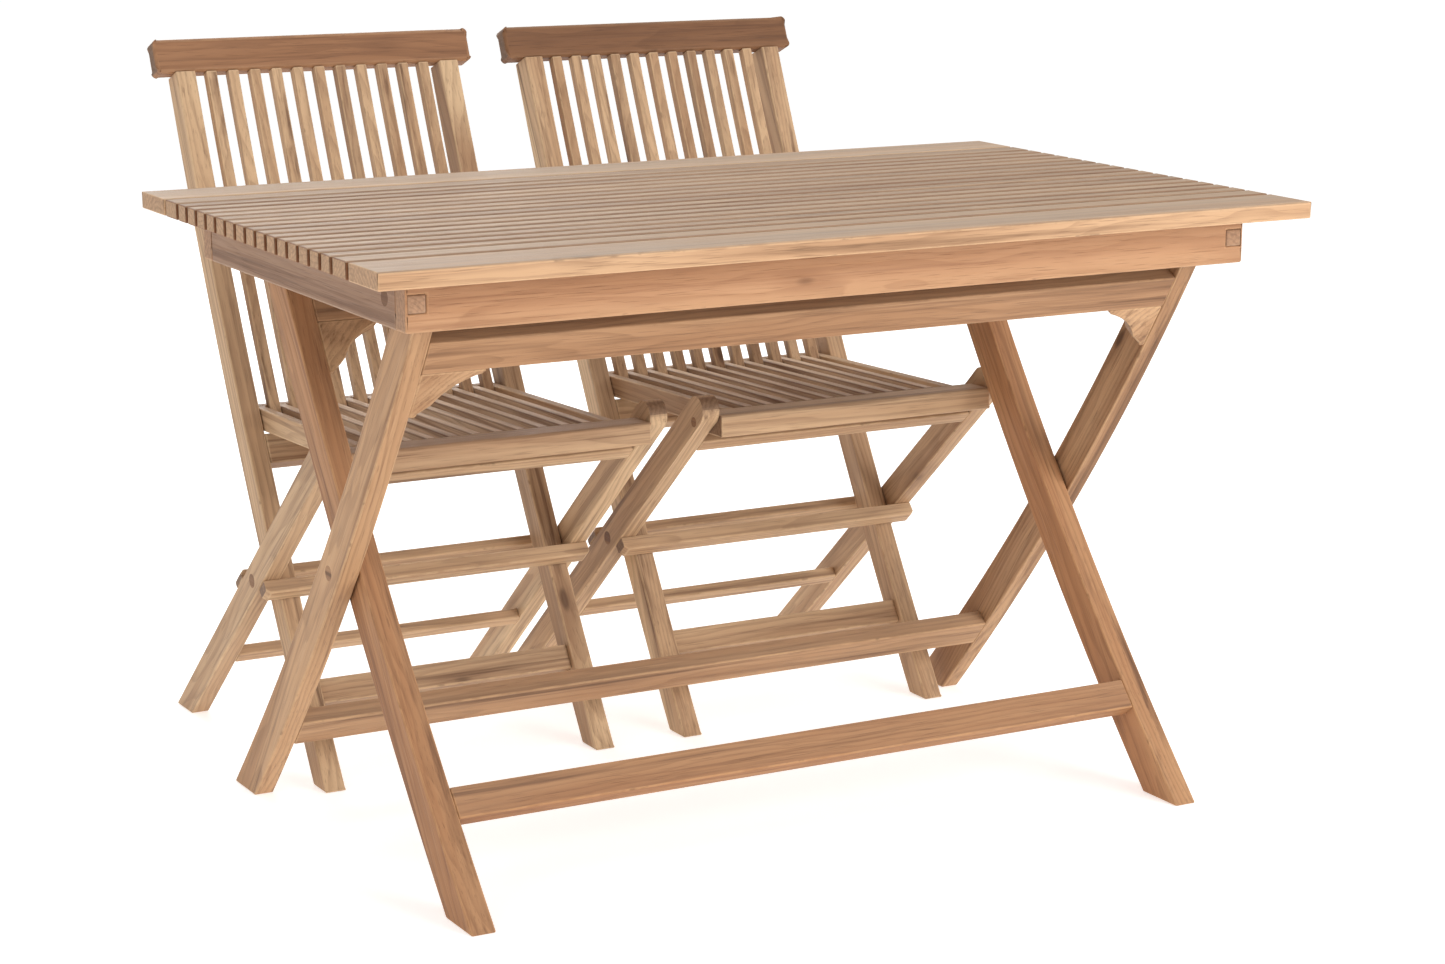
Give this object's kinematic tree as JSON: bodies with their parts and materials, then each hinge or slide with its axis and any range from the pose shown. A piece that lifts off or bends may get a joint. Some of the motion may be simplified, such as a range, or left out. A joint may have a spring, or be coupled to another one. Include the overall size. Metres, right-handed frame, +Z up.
{
  "type": "patio dining set",
  "caption": "Slatted wooden folding garden table with bowed crossed legs and slatted folding chairs tucked under its long side.",
  "frame": {"origin": "centre of the set's plan box, on the floor", "axes": "+X along the table's long side, to the right seen from the front; +Y towards the chairs' backs; +Z up"},
  "size_m": [1.2, 1.0788, 0.8899],
  "materials": {
    "teak_top": "weathered oiled teak",
    "teak_apron": "oiled teak",
    "teak_leg": "oiled teak",
    "teak_chair": "oiled teak",
    "teak_plug": "end grain",
    "steel": "satin"
  },
  "bodies": {
    "table_top": {"table_edge_slats": "teak_top", "table_outer_slats": "teak_top", "table_narrow_slats": "teak_top", "table_front_apron": "teak_apron", "table_rear_apron": "teak_apron", "table_left_apron": "teak_apron", "table_right_apron": "teak_apron", "table_bearers": "teak_apron", "table_bearer_screws": "steel", "table_hinge_plugs": "teak_plug"},
    "outer_frame": {"outer_leg_left": "teak_leg", "outer_leg_right": "teak_leg", "outer_top_rail": "teak_leg", "outer_gussets": "teak_leg", "outer_stretcher": "teak_leg", "table_hinge_bolts": "steel", "table_pivot_plugs": "teak_plug"},
    "inner_frame": {"inner_leg_left": "teak_leg", "inner_leg_right": "teak_leg", "inner_top_rail": "teak_leg", "inner_gussets": "teak_leg", "inner_stretcher": "teak_leg", "table_pivot_bolts": "steel"},
    "left_chair_back": {"lc_stile_left": "teak_chair", "lc_stile_right": "teak_chair", "lc_top_rail": "teak_chair", "lc_back_slats": "teak_chair", "lc_lower_rail": "teak_chair", "lc_front_stretcher": "teak_chair", "lc_cross_bolts": "steel"},
    "left_chair_legs": {"lc_leg_left": "teak_chair", "lc_leg_right": "teak_chair", "lc_leg_rail": "teak_chair", "lc_stop_bars": "teak_chair", "lc_rear_stretcher": "teak_chair", "lc_leg_plugs": "teak_plug"},
    "left_chair_seat": {"lc_seat_side_rails": "teak_chair", "lc_seat_slats": "teak_chair", "lc_seat_front_rail": "teak_chair", "lc_seat_rear_rail": "teak_chair", "lc_seat_bolts": "steel"},
    "right_chair_back": {"rc_stile_left": "teak_chair", "rc_stile_right": "teak_chair", "rc_top_rail": "teak_chair", "rc_back_slats": "teak_chair", "rc_lower_rail": "teak_chair", "rc_front_stretcher": "teak_chair", "rc_cross_bolts": "steel"},
    "right_chair_legs": {"rc_leg_left": "teak_chair", "rc_leg_right": "teak_chair", "rc_leg_rail": "teak_chair", "rc_stop_bars": "teak_chair", "rc_rear_stretcher": "teak_chair", "rc_leg_plugs": "teak_plug"},
    "right_chair_seat": {"rc_seat_side_rails": "teak_chair", "rc_seat_slats": "teak_chair", "rc_seat_front_rail": "teak_chair", "rc_seat_rear_rail": "teak_chair", "rc_seat_bolts": "steel"}
  },
  "joints": [
    {"name": "table_fold", "type": "hinge", "parent": "table_top", "child": "outer_frame", "pos_m": [0, -0.42719, 0.694], "axis": [-1, 0, 0], "range_deg": [0, 31]},
    {"name": "table_cross", "type": "hinge", "parent": "outer_frame", "child": "inner_frame", "pos_m": [0, -0.18436, 0.3381], "axis": [1, 0, 0], "range_deg": [0, 62]},
    {"name": "left_chair_slide", "type": "slide", "parent": "table_top", "child": "left_chair_back", "axis": [0, 1, 0], "range_m": [0, 0.4]},
    {"name": "left_chair_fold", "type": "hinge", "parent": "left_chair_back", "child": "left_chair_legs", "pos_m": [-0.236, 0.20114, 0.236], "axis": [-1, 0, 0], "range_deg": [0, 67]},
    {"name": "left_chair_seat_turn", "type": "hinge", "parent": "left_chair_legs", "child": "left_chair_seat", "pos_m": [-0.236, -0.03636, 0.436], "axis": [1, 0, 0], "range_deg": [0, 107.2]},
    {"name": "right_chair_slide", "type": "slide", "parent": "table_top", "child": "right_chair_back", "axis": [0, 1, 0], "range_m": [0, 0.4]},
    {"name": "right_chair_fold", "type": "hinge", "parent": "right_chair_back", "child": "right_chair_legs", "pos_m": [0.265, 0.19714, 0.236], "axis": [-1, 0, 0], "range_deg": [0, 67]},
    {"name": "right_chair_seat_turn", "type": "hinge", "parent": "right_chair_legs", "child": "right_chair_seat", "pos_m": [0.265, -0.04036, 0.436], "axis": [1, 0, 0], "range_deg": [0, 107.2]}
  ],
  "couplings": [
    {"joint": "table_cross", "follows": "table_fold", "ratio": 2},
    {"joint": "left_chair_seat_turn", "follows": "left_chair_fold", "ratio": 1.6},
    {"joint": "right_chair_seat_turn", "follows": "right_chair_fold", "ratio": 1.6}
  ]
}
